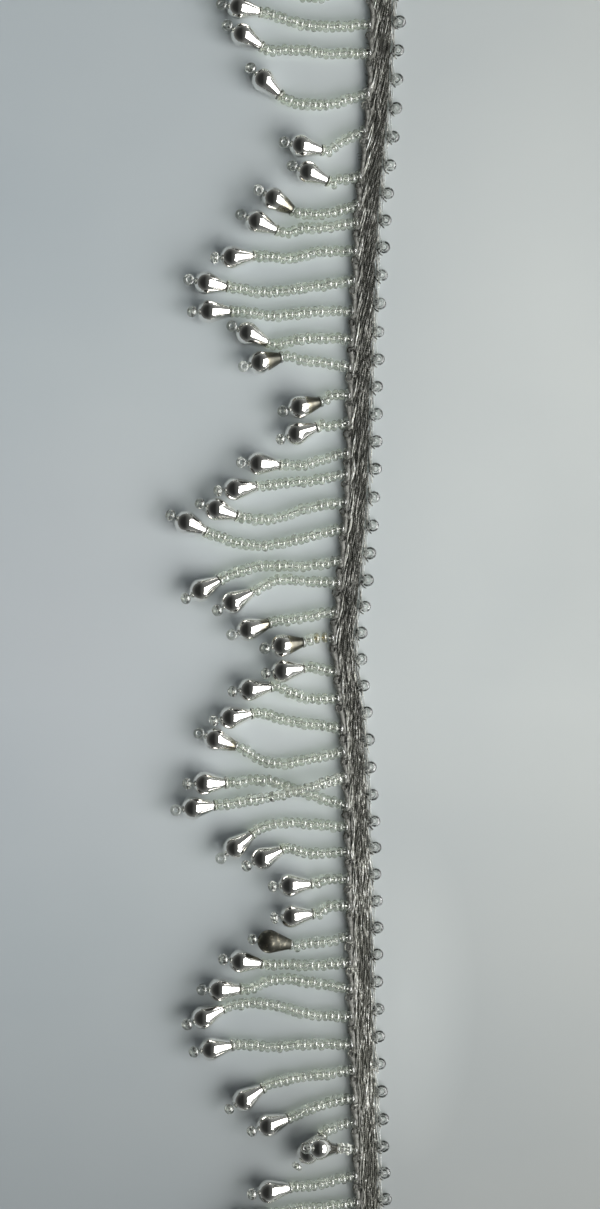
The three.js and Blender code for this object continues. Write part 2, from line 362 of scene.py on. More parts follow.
def grown(name, guide, tree, sizes):
    """The plain mesh that a tree grows on a guide. The guide is used up."""
    modifier = guide.modifiers.new(name, "NODES")
    modifier.node_group = tree
    for item in tree.interface.items_tree:
        if item.in_out == "INPUT" and item.name in sizes:
            modifier[item.identifier] = sizes[item.name]
    guide.update_tag()
    seen = guide.evaluated_get(bpy.context.evaluated_depsgraph_get())
    mesh = bpy.data.meshes.new_from_object(seen)
    guide.modifiers.remove(modifier)
    bpy.data.objects.remove(guide)
    mesh.name = name
    mesh.polygons.foreach_set("use_smooth", [True] * len(mesh.polygons))
    piece = bpy.data.objects.new(name, mesh)
    bpy.context.scene.collection.objects.link(piece)
    return piece


def yarn_tree(plies):
    """A tree that winds plies round its guides. Each ply is a thin tube, on a helix if it has a partner."""
    sizes = dict.fromkeys(["Ply Radius", "Wind", "Twist", "Step", "Taper"], "Float")
    yarn = Growth(f"yarn_of_{plies}", {**sizes, "Material": "Material"})
    given = yarn.given
    fine = yarn.marked(yarn.resampled(given["Step"]), "CURVE", "tint", yarn.chance())
    swell = (yarn.add("GeometryNodeSplineParameter", out="Factor") * math.pi).wave("SINE")
    fullness = 1.0 - given["Taper"] * (1.0 - swell)
    fine = yarn.add("GeometryNodeSetCurveRadius", None, {"Curve": fine, "Radius": fullness})
    tangent = yarn.add("GeometryNodeInputTangent")
    normal = yarn.add("GeometryNodeInputNormal")
    side = yarn.vector("CROSS_PRODUCT", {0: tangent, 1: normal})
    along = yarn.add("GeometryNodeSplineParameter", out="Length")
    circle = {"Resolution": 4, "Radius": given["Ply Radius"]}
    profile = yarn.add("GeometryNodeCurvePrimitiveCircle", None, circle)
    join = yarn.add("GeometryNodeJoinGeometry")
    for ply in range(plies):
        turn = along * TURN / given["Twist"] + TURN * ply / plies
        out_by, across_by = yarn.scaled(normal, turn.wave("COSINE")), yarn.scaled(side, turn.wave("SINE"))
        offset = yarn.scaled(yarn.vector("ADD", {0: out_by, 1: across_by}), given["Wind"] * fullness)
        wound = yarn.add("GeometryNodeSetPosition", None, {"Geometry": fine, "Offset": offset})
        sweep = {"Curve": wound, "Profile Curve": profile, "Fill Caps": True}
        tube = yarn.add("GeometryNodeCurveToMesh", None, sweep)
        yarn.fill(join.socket.node.inputs[0], yarn.marked(tube, "POINT", "ply", float(ply)))
    return yarn.end(join)


two_ply, single_ply = yarn_tree(2), yarn_tree(1)


def spin(name, runs, material, radius, twist=0.0015, *, step, tree=two_ply, taper=0.0):
    """Yarn of that ply radius along the runs."""
    wind = 0.0 if tree is single_ply else radius * 0.9
    sizes = {"Ply Radius": radius, "Wind": wind, "Twist": twist, "Step": step, "Taper": taper}
    return grown(name, guide_curve(name, runs), tree, {**sizes, "Material": material})


def stitch_run(row, column, number, side):
    """One strand of a stroke or float: up out of the ground, along its crest and down, veering as it goes."""
    repeat = number / row["per_repeat"]
    lower = min(max((repeat - STRAIGHTER["from"]) / (STRAIGHTER["to"] - STRAIGHTER["from"]), 0.0), 1.0)
    top = row["across"] + row["pitch"] * column + jitter(STITCH["jitter"])
    foot = row["lean"] * random.uniform(*STITCH["lean"])
    if row["lean"] < 0:
        top += STRAIGHTER["shift"] * lower if row["columns"] == 1 else 0.0
        splay = (-1) ** number * STRAIGHTER["splay"] * (0.3 + 0.7 * lower)
        foot = foot * (1.0 - STRAIGHTER["upright"] * lower) + splay
    begin = repeat + row["start"] + column * STITCH["stagger"] / row["per_repeat"] + jitter(STITCH["late"])
    length = row["length"] * random.uniform(*STITCH["length"])
    crest = row["crest"] + jitter(0.6 * STITCH["jitter"])
    heights = {0.0: STITCH["dip"], 0.18: crest, 0.5: crest, 0.8: crest - STITCH["sag"], 1.0: STITCH["dip"]}
    run = []
    for share, height in heights.items():
        at = min(max(begin + length * share, STITCH["margin"]), REPEATS - STITCH["margin"])
        veer = foot * (0.4 * share + 0.6 * share**2) + jitter(0.3 * STITCH["jitter"])
        bow = side * STRAIGHTER["link"] * (0.4 + 0.6 * lower) * math.sin(math.pi * share)
        run.append(on_braid(top + veer + bow, at, height))
    return run


def row_runs(row):
    """All the yarns of a row's columns, from the upper cut end to the lower."""
    sides = (0,) if row["strands"] == 1 else (-1, 1)
    runs = [
        stitch_run(row, column, number, side)
        for column in range(row["columns"])
        for number in range(-row["per_repeat"], REPEATS * row["per_repeat"])
        for side in sides
    ]
    return [run for run in runs if (run[0] - run[-1]).length > STITCH["shortest"]]


def metallised(name, dim, bright, glint, rough, upper=0.80, lower=1.30):
    """Metallised yarn: one ply duller, the foil worn, painted glints on spots of the foil, a tone that shifts
    along +Y.
    """
    finish = Finish(name, Metallic=0.55)
    where = finish.place()
    foil = finish.noise(2600.0, where, 3.0, (1.0, 0.28, 1.0)) * 0.6 + finish.noise(3200.0, where, 2.0) * 0.4
    wear = finish.noise(420.0, where, 2.0, (1.0, 0.5, 1.0))
    flaws = foil * 0.65 + wear * 0.35
    tone_along_y = finish.ramp(finish.axis(where, "Y") * -3.2 + 0.5, [(0.49, upper), (0.80, lower)])
    tone_along_y = tone_along_y * (finish.read("tint") * 0.9 + 0.5)
    ply = finish.blend(finish.read("ply"), (*bright, 1), (*dim, 1))
    worn = finish.blend(finish.ramp(flaws, [(0.41, 0.85), (0.57, 0.0)]), ply, (*dim, 1))
    # Painted glints: spots of the foil take the glint shade, as if a facet caught the light.
    with_painted_glints = finish.blend(finish.ramp(flaws, [(0.52, 0.0), (0.565, 1.0)]), worn, (*glint, 1))
    finish.set(
        Base_Color=finish.shaded(with_painted_glints, tone_along_y),
        Roughness=rough + 0.25 * wear,
        Normal=finish.bump(foil, 0.00010, 0.8),
    )
    return finish.material


# Each yarn: its dim and bright shades, the shade of its painted glints, its roughness, and its tone at the
# upper and the lower end.
YARNS = {
    "bright": [(0.42, 0.42, 0.38), (0.86, 0.86, 0.80), (1.0, 0.995, 0.95), 0.27, 1.25, 1.0],
    "middling": [(0.28, 0.28, 0.25), (0.60, 0.60, 0.55), (0.90, 0.895, 0.84), 0.29, 1.0, 1.2],
    "dark": [(0.10, 0.10, 0.085), (0.36, 0.36, 0.325), (0.78, 0.775, 0.72), 0.34, 0.76, 1.52],
    "edge": [(0.08, 0.08, 0.068), (0.22, 0.22, 0.197), (0.48, 0.48, 0.44), 0.36, 0.85, 0.85],
    "loop": [(0.05, 0.05, 0.042), (0.16, 0.16, 0.14), (0.48, 0.48, 0.44), 0.32],
}
metal_yarns = {shade: metallised("metallised_" + shade, *looks) for shade, looks in YARNS.items()}
for values in ROWS:
    row = dict(zip(ROW_KEYS, values))
    piece = spin(
        row["piece"], row_runs(row), metal_yarns[row["shade"]], row["ply"], STITCH["twist"],
        step=STITCH["step"], taper=STITCH["taper"],
    )
    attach(piece, "root")


# Looped left edge
# A sheer strip of metallised gauze with a dark yarn loop in every repeat, just below each string's root. The
# loops hold the strings, and the gauze draws in between them.

# One row a string: its root's place along the braid, how far out its neck lies, how far it strays along the
# braid at a third, at two thirds and at its neck, and in degrees its drop's heading and its stop bead's turn.
STRING_COLUMNS = ["root", "reach", "near", "far", "neck", "heading", "turn"]
STRINGS = [
    (0.1529, 0.0210, -0.0003, -0.0015, 0.0005, 30, 30),
    (0.1448, 0.0270, -0.0007, 0.0003, 0.0030, 8, 20),
    (0.1374, 0.0264, 0.0000, 0.0010, 0.0018, 29, 30),
    (0.1274, 0.0213, -0.0023, -0.0027, -0.0004, 41, 40),
    (0.1181, 0.0100, -0.0016, -0.0038, -0.0049, 10, 15),
    (0.1069, 0.0074, -0.0007, -0.0010, -0.0013, 21, 30),
    (0.0997, 0.0157, -0.0019, -0.0024, -0.0013, 29, 0),
    (0.0952, 0.0193, -0.0011, -0.0015, -0.0019, 22, 30),
    (0.0881, 0.0248, -0.0002, -0.0017, -0.0013, -4, 70),
    (0.0808, 0.0310, -0.0016, -0.0029, -0.0016, 9, 0),
    (0.0731, 0.0298, -0.0002, -0.0010, 0.0000, -2, 60),
    (0.0663, 0.0203, 0.0001, -0.0003, -0.0009, 23, 10),
    (0.0590, 0.0167, 0.0013, 0.0018, 0.0026, -15, 0),
    (0.0522, 0.0066, 0.0001, -0.0003, -0.0017, -15, 40),
    (0.0452, 0.0072, -0.0004, -0.0007, -0.0009, -20, 70),
    (0.0379, 0.0162, -0.0017, -0.0033, -0.0031, 3, 0),
    (0.0324, 0.0219, -0.0014, -0.0020, -0.0030, -7, 75),
    (0.0256, 0.0265, -0.0015, -0.0043, -0.0035, 18, 50),
    (0.0190, 0.0337, -0.0029, -0.0043, -0.0007, 24, 60),
    (0.0108, 0.0295, -0.0013, -0.0013, -0.0047, -29, 60),
    (0.0054, 0.0211, 0.0004, 0.0008, -0.0024, -28, 50),
    (-0.0016, 0.0161, -0.0012, -0.0022, -0.0031, -17, 10),
    (-0.0084, 0.0069, 0.0001, -0.0002, -0.0010, -9, 50),
    (-0.0166, 0.0073, 0.0004, 0.0009, 0.0007, -7, 60),
    (-0.0232, 0.0163, -0.0003, 0.0009, 0.0026, -6, 60),
    (-0.0310, 0.0219, 0.0012, 0.0023, 0.0038, -10, 70),
    (-0.0366, 0.0264, -0.0022, -0.0030, 0.0012, 21, 10),
    (-0.0501, 0.0294, 0.0031, 0.0063, 0.0056, 0, 60),
    (-0.0430, 0.0319, -0.0032, -0.0055, -0.0071, -6, 10),
    (-0.0555, 0.0231, 0.0006, 0.0010, -0.0018, -37, 20),
    (-0.0617, 0.0158, -0.0003, -0.0002, 0.0005, -23, 60),
    (-0.0685, 0.0087, 0.0001, -0.0002, -0.0012, -2, 70),
    (-0.0751, 0.0084, 0.0000, -0.0009, -0.0021, -4, 85),
    (-0.0828, 0.0141, -0.0012, -0.0016, -0.0020, 10, 60),
    (-0.0891, 0.0214, -0.0009, -0.0007, -0.0004, 8, 60),
    (-0.0959, 0.0267, 0.0016, 0.0023, 0.0000, 1, 30),
    (-0.1028, 0.0313, 0.0007, 0.0032, 0.0020, -22, 50),
    (-0.1098, 0.0292, 0.0001, -0.0005, -0.0002, -7, 50),
    (-0.1161, 0.0219, -0.0012, -0.0021, -0.0045, -30, 60),
    (-0.1232, 0.0157, -0.0010, -0.0027, -0.0049, -17, 60),
    (-0.1292, 0.0075, -0.0004, -0.0016, -0.0032, -49, 90),
    (-0.1360, 0.0044, 0.0003, 0.0006, 0.0008, 12, 40),
    (-0.1426, 0.0159, -0.0011, -0.0024, -0.0029, -6, 60),
    (-0.1492, 0.0210, -0.0011, -0.0015, -0.0030, -20, 30),
    (-0.1562, 0.0260, -0.0005, -0.0010, -0.0025, -12, 30),
]
strings = [dict(zip(STRING_COLUMNS, row)) for row in STRINGS]

GAUZE = {
    "steps": 8, "inner": -0.0018, "drawn_in": -0.0034, "bulge": 0.0011, "spread": 0.0016, "low": 0.00055,
    "lift": 0.0011, "thick": 0.00012, "thread": 0.00024,
}
GAUZE_SHADES = [(0.38, (0.09, 0.09, 0.078)), (0.62, (0.33, 0.33, 0.305))]
LOOP = {
    "across": -0.0036, "below": 0.0025, "radius": 0.00095, "height": 0.0017, "sag": 0.0002,
    "from": Vector((-0.0022, 0.0012, 0.0010)), "to": Vector((-0.0021, -0.0009, 0.0006)),
    "stray": 0.0005, "outward": (-0.0001, 0.0005), "size": (0.65, 1.05), "unround": (0.8, 1.2),
    "ply": 0.00012, "twist": 0.0013, "step": 0.00018,
}
WISP = {
    "per_repeat": 7, "height": 0.0012, "across": (-0.0002, 0.0006), "swing": (1.9, 4.4),
    "reach": (0.0004, 0.0011), "climb": (-0.3, 0.5), "curl": 0.4, "radius": 0.00006, "step": 0.0002,
}


def gauze_section(repeat):
    """A thin flat outline that reaches further out beside each loop."""
    along = stitch(repeat)
    nearest = min(abs(along - (string["root"] - LOOP["below"])) for string in strings)
    outer = GAUZE["drawn_in"] - GAUZE["bulge"] * math.exp(-((nearest / GAUZE["spread"]) ** 2))
    middle = (outer + GAUZE["inner"]) / 2
    rises = ((GAUZE["inner"], 0.0), (middle, 0.8), (outer, 1.0))
    under = [(across, GAUZE["low"] + GAUZE["lift"] * rise) for across, rise in rises]
    return under + [(across, height + GAUZE["thick"]) for across, height in reversed(under)]


gauze = swept_band("edge_gauze", gauze_section, GAUZE["steps"])
gauze_finish = Finish("sheer_gauze", Metallic=0.3, Roughness=0.5)
gauze_lay = gauze_finish.read("lay", "Vector")
fuzz = gauze_finish.noise(1100.0, gauze_finish.place(), 3.0)
felt = gauze_finish.weave(gauze_lay, GAUZE["thread"], GAUZE["thread"]) * 0.25 + fuzz * 0.75
outwards = gauze_finish.axis(gauze_lay, "X") * -700.0
frayed = gauze_finish.ramp(outwards + fuzz * 1.2 - 2.6, [(0.0, 0.0), (1.0, 0.9)])
gauze_finish.set(
    Base_Color=gauze_finish.ramp(felt, GAUZE_SHADES),
    Alpha=gauze_finish.ramp(felt, [(0.36, 0.50), (0.50, 1.0)]) * (1.0 - frayed),
    Normal=gauze_finish.bump(felt, 0.0002, 0.7),
)
gauze.data.materials.append(gauze_finish.material)


def loop_run(root):
    """One loop: out of the braid's edge, round, and back under it."""
    along = root - LOOP["below"] + jitter(LOOP["stray"])
    edge = Vector((sway(along), along, 0.0))
    centre = edge + Vector((LOOP["across"] + random.uniform(*LOOP["outward"]), 0.0, LOOP["height"]))
    run = [edge + LOOP["from"]]
    size = LOOP["radius"] * random.uniform(*LOOP["size"])
    for degrees in (50, 110, 180, 250, 310, 370):
        angle = math.radians(degrees)
        reach = size * random.uniform(*LOOP["unround"])
        rim = (math.cos(angle) * reach, math.sin(angle) * reach, math.sin(angle) * LOOP["sag"])
        run.append(centre + Vector(rim))
    run.append(edge + LOOP["to"])
    return run


def wisp_run(repeat):
    """A loose hair of the gauze that stands out from its edge."""
    start = on_braid(GAUZE["drawn_in"] + random.uniform(*WISP["across"]), repeat, WISP["height"])
    swing, reach = random.uniform(*WISP["swing"]), random.uniform(*WISP["reach"])
    out = Vector((math.cos(swing), math.sin(swing), random.uniform(*WISP["climb"]))) * reach
    curl = Vector((out.y, -out.x, 0.0)) * jitter(WISP["curl"])
    return [start, start + out * 0.5 + curl, start + out]


loop_runs = [loop_run(string["root"]) for string in strings]
loops = spin("edge_loops", loop_runs, metal_yarns["loop"], LOOP["ply"], LOOP["twist"], step=LOOP["step"])
wisp_runs = [wisp_run(random.uniform(0.3, REPEATS - 0.3)) for _ in range(REPEATS * WISP["per_repeat"])]
wisps = spin("edge_wisps", wisp_runs, metal_yarns["loop"], WISP["radius"], tree=single_ply, step=WISP["step"])
for piece in (gauze, loops, wisps):
    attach(piece, "root")


# Strings of seed beads
# Clear, faintly green glass rocailles of size 8, threaded close on clear nylon. Sizes and tilts vary a little
# from bead to bead. Each string starts in its loop and ends at the neck of its drop.

# Square is the flat share of a bead's ends, and lip the share of its length that its hole runs each way.
SEED = {
    "radius": 0.0014, "hole": 0.0003, "length": 0.0014, "rounds": 6, "square": 0.45, "lip": 0.40,
    "sides": 12,
}
THREADED = {"Pitch": 0.00147, "Wobble": 0.18, "Uneven": 0.15, "Stray": 0.00019, "Seed": 3}
# Where a string's first bead lies across the braid, and where its reach is counted from.
STRING_START, REACH_START = -0.0036, -0.0039
# How far a string is raised at a third, at two thirds and at its neck. String 28 climbs over string 27, and
# drop 41 leans up on drop 40.
LYING = {"near": 0.0, "far": 0.0, "neck": 0.0}
LIFTED = {
    28: {"near": 0.0033, "far": 0.0007, "neck": 0.0},
    41: {"near": 0.0007, "far": 0.0016, "neck": 0.0026, "tilt": 41},
}
DROP = {"neck": 0.00120, "bore": 0.00045, "radius": 0.0029, "shoulder": 0.0056, "length": 0.0085}
NECK_BEND, NECK_GAP, STOP_GAP = 0.0015, 0.0001, 0.00002
THREAD = {
    "radius": 0.00007, "step": 0.0005, "tied_at": Vector((-0.0023, -0.0004, 0.0009)), "in_drop": 0.004,
    "round_bead": 0.75, "in_bead": 0.3, "slack": 0.0006,
}


def lay_string(number, string):
    """Adds a string's control points, its drop's neck and direction, and its stop bead's place and hole."""
    lift = LIFTED.get(number, LYING)
    start = sway(string["root"]) + REACH_START
    radius = SEED["radius"]

    def place(share, rise, raised):
        return Vector((start - string["reach"] * share, string["root"] + rise, radius + raised))

    neck = place(1.0, string["neck"], lift["neck"])
    level = math.asin((DROP["radius"] - radius) / DROP["shoulder"])
    tilt = math.radians(lift["tilt"]) if "tilt" in lift else level
    heading = math.radians(string["heading"])
    flat = Vector((-math.cos(heading), math.sin(heading), 0.0))
    aim = flat * math.cos(tilt) + Vector((0, 0, math.sin(tilt)))
    approach = aim if "tilt" in lift else flat
    string["run"] = [
        Vector((sway(string["root"]) + STRING_START, string["root"], radius)),
        place(1 / 3, string["near"], lift["near"]),
        place(2 / 3, string["far"], lift["far"]),
        neck - approach * NECK_BEND,
        neck - approach * NECK_GAP,
    ]
    string["neck_at"], string["aim"] = neck, aim
    string["stop"] = neck + aim * (DROP["length"] + STOP_GAP + radius)
    turn = math.radians(string["turn"])
    sideways = aim.cross(Vector((0, 0, 1))).normalized()
    upright = sideways.cross(aim)
    string["hole"] = upright * math.cos(turn) + aim * math.sin(turn)


for number, string in enumerate(strings):
    lay_string(number, string)


def turned_shape(name, outline, sides, marks):
    """A closed outline of points (radius, height), turned round the Z axis. Its marks go by the height."""
    points, faces = [], []
    rings = len(outline)
    for side in range(sides):
        angle = TURN * side / sides
        points += [(reach * math.cos(angle), reach * math.sin(angle), height) for reach, height in outline]
        near, far = side * rings, (side + 1) % sides * rings
        for ring in range(rings):
            other = (ring + 1) % rings
            faces.append((near + ring, far + ring, far + other, near + other))
    attributes = [
        (mark, "FLOAT", [value(height) for _ in range(sides) for _, height in outline])
        for mark, value in marks.items()
    ]
    return new_piece(name, points, faces, attributes)


def bead_shape(name, bead):
    """A glass bead with a straight hole, flat ends for a share of its wall, and an arc between the ends."""
    wall, hole_end = bead["radius"] - bead["hole"], bead["length"] * bead["lip"]
    outline = [(bead["hole"], -hole_end)]
    for step in range(bead["rounds"]):
        swing = math.radians(-84 + 168 * step / (bead["rounds"] - 1))
        share = bead["square"] + (1 - bead["square"]) * math.cos(swing) ** 0.8
        outline.append((bead["hole"] + wall * share, bead["length"] * 0.5 * math.sin(swing)))
    outline.append((bead["hole"], hole_end))
    half = max(height for _, height in outline)
    return turned_shape(name, outline, bead["sides"], {"end": lambda height: abs(height) / half})


def bead_tree(name, threaded):
    """A tree that sets a bead on each guide point, or threads beads along each guide curve at a pitch."""
    sizes = ["Wobble", "Uneven", "Stray", *(["Pitch"] if threaded else [])]
    inputs = {"Bead": "Object", "Seed": "Int", "Material": "Material", **dict.fromkeys(sizes, "Float")}
    beads = Growth(name, inputs)
    given, seed = beads.given, beads.given["Seed"]
    if threaded:
        points, aim = beads.resampled(given["Pitch"]), beads.add("GeometryNodeInputTangent")
    else:
        points = given["Geometry"]
        aim = beads.add("GeometryNodeInputNamedAttribute", {"data_type": "FLOAT_VECTOR"}, {"Name": "aim"})
    stray = beads.chance("FLOAT_VECTOR", Min=(-0.3, -1, -0.1), Max=(0.3, 1, 0.5), Seed=seed + 5)
    offset = beads.scaled(stray, given["Stray"])
    points = beads.add("GeometryNodeSetPosition", None, {"Geometry": points, "Offset": offset})
    bead = beads.add("GeometryNodeObjectInfo", None, {"Object": given["Bead"]}, "Geometry")
    upright = beads.add("FunctionNodeAlignRotationToVector", {"axis": "Z"}, {"Vector": aim})
    wobble = beads.chance("FLOAT_VECTOR", Min=(-1, -1, -3), Max=(1, 1, 3), Seed=seed)
    turn = {"Rotation": upright, "Rotate By": beads.scaled(wobble, given["Wobble"])}
    rotation = beads.add("FunctionNodeRotateRotation", {"rotation_space": "LOCAL"}, turn)
    size = beads.chance(Min=1.0 - given["Uneven"] * 0.5, Max=1.0 + given["Uneven"], Seed=seed + 1)
    each = {"Points": points, "Instance": bead, "Rotation": rotation, "Scale": size}
    placed = beads.add("GeometryNodeInstanceOnPoints", None, each)
    return beads.end(beads.marked(placed, "INSTANCE", "tint", beads.chance(Seed=seed + 2)))


threading, setting = bead_tree("thread_beads", True), bead_tree("set_beads", False)


def let_lamps_through(finish, shade):
    """Lets rays from lamps pass, dimmed to that shade, so that they light what lies under the glass."""
    clear = finish.add("ShaderNodeBsdfTransparent", None, {"Color": (*shade, 1)})
    lamp_ray = finish.add("ShaderNodeLightPath", out="Is Shadow Ray")
    glass = Wire(finish, finish.shader.outputs[0])
    mixed = finish.add("ShaderNodeMixShader", None, {0: lamp_ray, 1: glass, 2: clear})
    finish.fill(finish.tree.nodes["Material Output"].inputs["Surface"], mixed)


def clear_glass(name, tint, deep, rim, rim_shade_stops, polish, patchy_rim_shade=0.0, ground_ends_and_shade=0.0, stain=None):
    """Polished glass that differs from bead to bead, with painted shade in the rim colour where a side turns
    from the eye.
    """
    finish = Finish(name, IOR=1.55, Transmission_Weight=1.0, Coat_IOR=polish, Coat_Roughness=0.32)
    where = finish.place()
    haze = finish.noise(1500.0, where, 2.0)
    body = finish.blend(finish.read("tint") * 0.6 + haze * 0.4, (*tint, 1), (*deep, 1))
    # Painted shade: the glass's colour darkens towards the rim colour where its sides turn from the eye.
    facing = finish.add("ShaderNodeLayerWeight", None, {"Blend": 0.5}, "Facing")
    rim_shade_share, roughness = finish.ramp(facing, rim_shade_stops), 0.03 + haze * 0.05
    # Edge beads: the painted rim shade breaks up in clouds and is heaviest on the sides that face +X and +Y.
    if patchy_rim_shade:
        side = finish.add("ShaderNodeTexCoord", out="Normal")
        outward = finish.vector("DOT_PRODUCT", {0: side, 1: (0.75, 0.55, 0)}, "Value")
        clouding = finish.noise(850.0, where, 1.0)
        side_shade_stops = [(0.25, 1.0 - patchy_rim_shade), (0.50, 1.0)]
        rim_shade_share = rim_shade_share * finish.ramp(outward * 0.30 + clouding * 1.7 - 0.45, side_shade_stops)
    if stain:
        off = finish.vector("DISTANCE", {0: where, 1: stain["at"]}, "Value") / stain["reach"]
        body = finish.blend(finish.ramp(off, [(0.7, 1.0), (1.0, 0.0)]), body, (*stain["shade"], 1))
    # Ground ends: rougher glass, and darkened by painted shade where neighbouring beads meet.
    if ground_ends_and_shade:
        ground_end_and_shade = finish.ramp(finish.read("end"), [(0.70, 0.0), (0.95, ground_ends_and_shade)])
        body, roughness = finish.blend(ground_end_and_shade, body, (0.30, 0.33, 0.29, 1)), roughness + ground_end_and_shade * 0.3
    finish.set(
        Base_Color=finish.blend(rim_shade_share, body, (*rim, 1)),
        Roughness=roughness,
        Coat_Weight=finish.ramp(finish.read("tint"), [(0.0, 0.30), (1.0, 1.0)]),
        Normal=finish.bump(haze, 0.00020, 0.6),
    )
    let_lamps_through(finish, (0.80, 0.815, 0.78))
    return finish.material


AMBER = {"at": (-0.0073, -0.0084, 0.0014), "reach": 0.0019, "shade": (0.78, 0.60, 0.26)}
# The seeds' rim colour is painted shade on the sides of each bead.
seed_glass = clear_glass(
    "seed_glass", tint=(0.98, 0.99, 0.945), deep=(0.91, 0.93, 0.85), rim=(0.685, 0.72, 0.64),
    rim_shade_stops=[(0.22, 0.0), (0.45, 1.0), (0.75, 1.0), (0.97, 0.3)], polish=2.9, ground_ends_and_shade=0.15, stain=AMBER,
)
seed = bead_shape("seed", SEED)
seed_guides = guide_curve("seed_strings", [string["run"] for string in strings])
seeds = grown("seed_strings", seed_guides, threading, {"Bead": seed, **THREADED, "Material": seed_glass})
bpy.data.objects.remove(seed)

nylon = Finish("clear_nylon", IOR=1.5, Transmission_Weight=0.4)
nylon_haze = nylon.noise(1800.0, nylon.place(), 2.0)
nylon.set(
    Base_Color=nylon.ramp(nylon_haze, [(0.3, (0.80, 0.82, 0.80)), (0.7, (0.94, 0.96, 0.94))]),
    Roughness=0.18 + nylon_haze * 0.15,
)


def thread_run(string):
    """A string's thread: out of its loop, through the beads and the drop, through the stop bead and back."""
    neck, aim, stop = string["neck_at"], string["aim"], string["stop"]
    tied = Vector((sway(string["root"]), string["root"], 0.0)) + THREAD["tied_at"]
    end, slack = neck + aim * DROP["length"], aim * THREAD["slack"]
    beside, inside = (string["hole"] * SEED["length"] * THREAD[way] for way in ("round_bead", "in_bead"))
    through = [neck + aim * THREAD["in_drop"], end]
    round_stop = [stop + beside - slack, stop + inside, stop - inside, stop - beside - slack, end]
    return [tied, *string["run"], *through, *round_stop]


thread_runs = [thread_run(string) for string in strings]
string_threads = spin(
    "string_threads", thread_runs, nylon.material, THREAD["radius"], tree=single_ply, step=THREAD["step"]
)
for piece in (seeds, string_threads):
    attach(piece, "root")
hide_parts("fringe")


# Silvered drops
# One mirror-silvered drop on each string: a cone that swells from its neck to a round end, bored through.
# The silvering of a few is dulled or browned, and all carry faint handling marks.

DROP_SIDES, BALL_STEPS = 32, 15
CONE_SHARES = (0.025, 0.2, 0.4, 0.6, 0.8, 1.0)
# The bevel round the neck's lip, and how far inside each end of the drop the wall of its bore begins.
LIP = {"width": 0.00006, "height": 0.00005}
BORE_INSIDE = {"neck": 0.0004, "round_end": 0.0008}
# How dull the silvering of a drop is, by the number of its string.
TARNISH = {6: 0.40, 12: 0.70, 13: 0.55, 21: 0.25, 22: 0.60, 26: 0.25, 33: 1.0}
WORN_PARTS = {
    "neckness": lambda height: max(0.0, 1.0 - height / 0.0035),
    "cone": lambda height: min(max((0.0046 - height) / 0.0010, 0.0), 1.0),
    "ground_end": lambda height: float(height < 0.00003),
}
SILVER_SHADES = [
    (0.0, (0.915, 0.90, 0.87)), (0.30, (0.36, 0.335, 0.26)), (0.65, (0.17, 0.16, 0.13)),
    (1.0, (0.10, 0.098, 0.082)),
]


def drop_outline():
    """The drop's outline as (radius, distance from the neck): bore, lip, cone, round end."""
    neck, bore, radius, shoulder = (DROP[key] for key in ("neck", "bore", "radius", "shoulder"))
    slope = math.asin((radius - neck) / math.hypot(shoulder, radius - neck))
    cone_end, cone_radius = shoulder - radius * math.sin(slope), radius * math.cos(slope)
    outline = [(bore, BORE_INSIDE["neck"]), (bore, 0.0), (neck - LIP["width"], 0.0), (neck, LIP["height"])]
    for share in CONE_SHARES:
        outline.append((neck + (cone_radius - neck) * share, cone_end * share))
    sweep = math.acos(bore / radius) + slope
    for step in range(1, BALL_STEPS + 1):
        angle = sweep * step / BALL_STEPS - slope
        outline.append((radius * math.cos(angle), shoulder + radius * math.sin(angle)))
    outline.append((bore, shoulder + radius - BORE_INSIDE["round_end"]))
    return outline


def set_beads(name, shape, places, aims, looks, dulls=()):
    """One bead or drop on each place, with its axis along the aim. The shape is used up."""
    marks = [("aim", "FLOAT_VECTOR", aims)]
    if dulls:
        marks.append(("dull", "FLOAT", dulls))
    piece = grown(name, new_piece(name, places, [], marks), setting, {"Bead": shape, **looks})
    bpy.data.objects.remove(shape)
    return piece


silver = Finish("silvering", Metallic=1.0)
silver_place = silver.place()
smudge = silver.noise(700.0, silver_place, 3.0)
grime = silver.noise(2200.0, silver_place, 2.0)
dent = silver.noise(230.0, silver_place, 1.0)
dull = silver.read("dull")
all_dull = silver.ramp(dull, [(0.75, 0.0), (0.95, 1.0)])
cone_gone = dull * silver.read("cone") * (1.0 - all_dull) * 0.95
gone = cone_gone + all_dull * (smudge * 1.3 + grime * 0.4 - 0.1)
worn = silver.ramp(silver.read("neckness") * 0.3 + smudge * 0.4 + gone, [(0.45, 0.0), (1.35, 1.0)])
uneven = dent * (silver.read("tint") * 2.2 + 0.2) + smudge * (gone * 0.6 + 0.15) + grime * 0.05
silver.set(
    Base_Color=silver.ramp(worn, SILVER_SHADES),
    Roughness=0.052 + smudge * 0.07 + gone * 0.42 + all_dull * 0.12 + silver.read("ground_end") * 0.6,
    Normal=silver.bump(uneven, 0.0004, 0.28),
)
drops = set_beads(
    "silver_drops", turned_shape("drop", drop_outline(), DROP_SIDES, WORN_PARTS),
    [string["neck_at"] for string in strings], [string["aim"] for string in strings],
    {"Wobble": 0.0, "Uneven": 0.0, "Stray": 0.0, "Seed": 5, "Material": silver.material},
    [TARNISH.get(number, 0.0) for number in range(len(strings))],
)
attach(drops, "root")
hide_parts(*[f"drop_{number:02d}" for number in range(len(strings))])


# Stop beads
# One more seed bead, of the same glass, stops each drop. The string's nylon goes through it and back into the
# drop, so the bead sits across the string's end.

STOP_BEAD = {**SEED, "hole": 0.0005, "rounds": 10, "square": 0.3, "lip": 0.45, "sides": 24}

